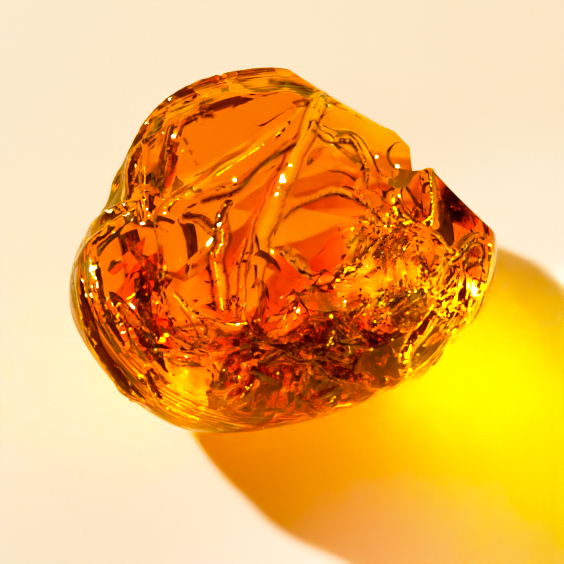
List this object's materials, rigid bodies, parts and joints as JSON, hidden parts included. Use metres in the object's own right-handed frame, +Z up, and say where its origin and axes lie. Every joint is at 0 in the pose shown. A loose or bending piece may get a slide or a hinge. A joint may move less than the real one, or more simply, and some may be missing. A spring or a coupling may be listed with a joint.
{
  "type": "raw amber lump",
  "caption": "Clear orange amber lump with smooth water-worn lower sides and shell-shaped fracture scars on its upper side and back, lying on a small flat spot.",
  "frame": {"origin": "middle of the bounding box at the level of the flat resting spot", "axes": "+Z up from the resting spot, +X to the right along the lump's greatest width, +Y away from the front"},
  "size_m": [0.0456, 0.0442, 0.0255],
  "materials": {
    "amber": "clear, glossy"
  },
  "bodies": {
    "root": {"amber": "amber"}
  },
  "joints": []
}
